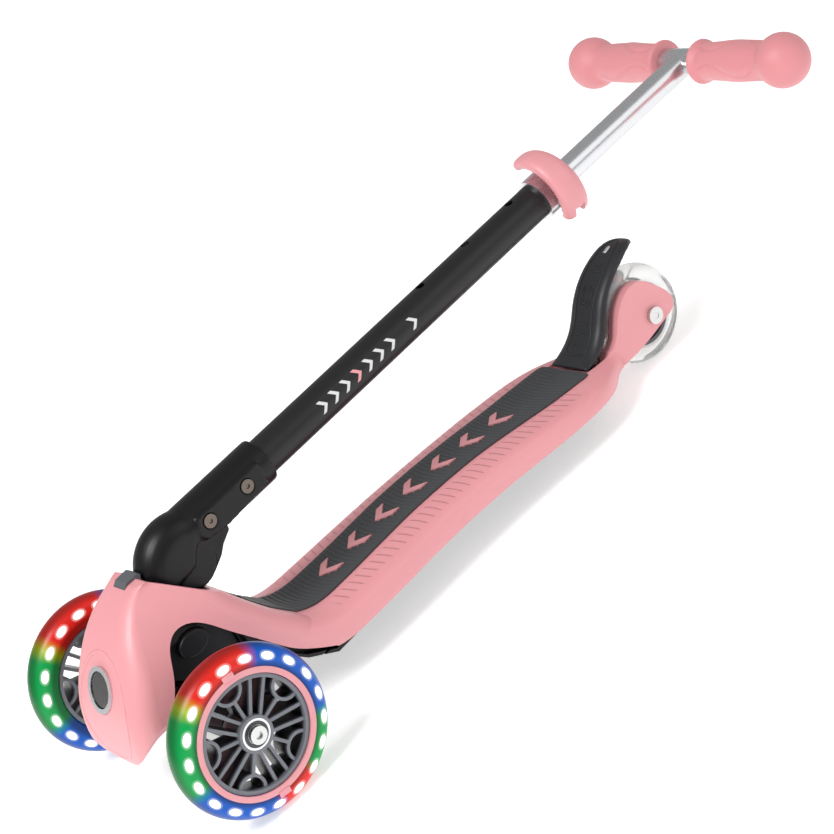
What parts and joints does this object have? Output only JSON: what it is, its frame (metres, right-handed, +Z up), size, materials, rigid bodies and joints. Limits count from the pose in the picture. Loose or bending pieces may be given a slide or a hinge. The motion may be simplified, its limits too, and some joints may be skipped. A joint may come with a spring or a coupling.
{
  "type": "kick scooter",
  "caption": "Three-wheeled lean-to-steer children's kick scooter with its T-bar folded back over a contoured deck.",
  "frame": {"origin": "centre of the bounding box at floor level, where all three wheels stand", "axes": "+X forward, +Y to the rider's left, +Z up; the T-bar is folded back along -X"},
  "size_m": [0.7165, 0.266, 0.2051],
  "materials": {
    "pink_shell": "satin moulded polypropylene",
    "black_plastic": "satin glass-filled nylon",
    "mat_rubber": "ribbed soft grey rubber",
    "grey_plastic": "satin moulded nylon",
    "brake_plastic": "fine moulded grain",
    "casting_black": "black powder-coated die casting",
    "tube_black": "dark anodised, satin",
    "tube_silver": "brushed clear anodised",
    "zinc_steel": "zinc plated",
    "chrome_steel": "polished",
    "tyre_clear": "translucent polyurethane",
    "tyre_lit": "translucent polyurethane lit from inside",
    "lamp": "lit diode windows",
    "grip_rubber": "matte soft rubber",
    "bumper_rubber": "matte",
    "bushing_rubber": "matte",
    "button_black": "glossy"
  },
  "bodies": {
    "deck": {"deck_shell": "pink_shell", "deck_mat": "mat_rubber", "deck_inlays": "pink_shell", "deck_underframe": "black_plastic", "underframe_screws": "zinc_steel", "neck_bumper": "bumper_rubber", "hinge_block": "black_plastic", "kingpin": "zinc_steel", "kingpin_nut": "zinc_steel", "lock_bezel": "tube_silver", "fold_button_spring": "zinc_steel", "brake_pin": "zinc_steel", "rear_axle_bolt": "zinc_steel", "rear_axle_nut": "zinc_steel", "rear_axle_spacers": "zinc_steel"},
    "steering_beam": {"axle_carrier": "black_plastic", "kingpin_bushings": "bushing_rubber", "front_axle_bolt_left": "zinc_steel", "front_axle_bolt_right": "zinc_steel", "front_axle_spacer_left": "zinc_steel", "front_axle_spacer_right": "zinc_steel"},
    "front_wheel_left": {"front_tyre_left": "tyre_lit", "front_lamps_left": "lamp", "front_hub_left": "grey_plastic", "front_ring_left": "pink_shell", "front_bearings_left": "zinc_steel", "front_bearing_spacer_left": "zinc_steel"},
    "front_wheel_right": {"front_tyre_right": "tyre_lit", "front_lamps_right": "lamp", "front_hub_right": "grey_plastic", "front_ring_right": "pink_shell", "front_bearings_right": "zinc_steel", "front_bearing_spacer_right": "zinc_steel"},
    "rear_wheel": {"rear_tyre": "tyre_clear", "rear_hub": "grey_plastic", "rear_bearings": "zinc_steel", "rear_bearing_spacer": "zinc_steel"},
    "brake": {"brake_pedal": "brake_plastic"},
    "stem": {"elbow": "casting_black", "hinge_pin": "zinc_steel", "elbow_bolts": "zinc_steel", "outer_tube": "tube_black", "tube_bushing": "black_plastic", "clamp_collar": "tube_silver", "lever_pin": "zinc_steel"},
    "handlebar": {"inner_tube": "tube_silver", "snap_carrier": "black_plastic", "crossbar": "tube_silver", "grip_left": "grip_rubber", "grip_right": "grip_rubber"},
    "clamp_lever": {"clamp_lever": "pink_shell"},
    "snap_button": {"snap_button": "chrome_steel"},
    "fold_button": {"fold_button": "black_plastic"},
    "lock_button": {"lock_button": "button_black"}
  },
  "joints": [
    {"name": "fold", "type": "hinge", "parent": "deck", "child": "stem", "pos_m": [0.2358, 0, 0.1355], "axis": [0, 1, 0], "range_deg": [0, 75]},
    {"name": "bar_height", "type": "slide", "parent": "stem", "child": "handlebar", "axis": [-0.9991, 0, 0.0417], "range_m": [-0.05, 0.05]},
    {"name": "clamp_lever", "type": "hinge", "parent": "stem", "child": "clamp_lever", "pos_m": [-0.16969, 0.02207, 0.15855], "axis": [-0.9991, 0, 0.0417], "range_deg": [0, 100]},
    {"name": "snap_button", "type": "slide", "parent": "handlebar", "child": "snap_button", "axis": [0.0417, 0, 0.9991], "range_m": [0, 0.0032]},
    {"name": "lean_steer", "type": "hinge", "parent": "deck", "child": "steering_beam", "pos_m": [0.2978, 0, 0.0605], "axis": [0.788, 0, 0.6157], "range_deg": [-10, 10], "stiffness_Nm_per_rad": 8},
    {"name": "front_left_spin", "type": "hinge", "parent": "steering_beam", "child": "front_wheel_left", "pos_m": [0.2978, 0.103, 0.0605], "axis": [0, 1, 0], "continuous": true},
    {"name": "front_right_spin", "type": "hinge", "parent": "steering_beam", "child": "front_wheel_right", "pos_m": [0.2978, -0.103, 0.0605], "axis": [0, 1, 0], "continuous": true},
    {"name": "rear_spin", "type": "hinge", "parent": "deck", "child": "rear_wheel", "pos_m": [-0.189, 0, 0.04], "axis": [0, 1, 0], "continuous": true},
    {"name": "brake_press", "type": "hinge", "parent": "deck", "child": "brake", "pos_m": [-0.1262, 0, 0.0415], "axis": [0, -1, 0], "range_deg": [0, 2.5], "stiffness_Nm_per_rad": 6, "springref_deg": -5.73},
    {"name": "fold_button_press", "type": "slide", "parent": "deck", "child": "fold_button", "axis": [0, -1, 0], "range_m": [0, 0.004], "stiffness_N_per_m": 400, "springref_m": -0.002},
    {"name": "lock_button_press", "type": "slide", "parent": "deck", "child": "lock_button", "axis": [-0.8572, 0, -0.515], "range_m": [0, 0.003], "stiffness_N_per_m": 400, "springref_m": -0.002}
  ]
}
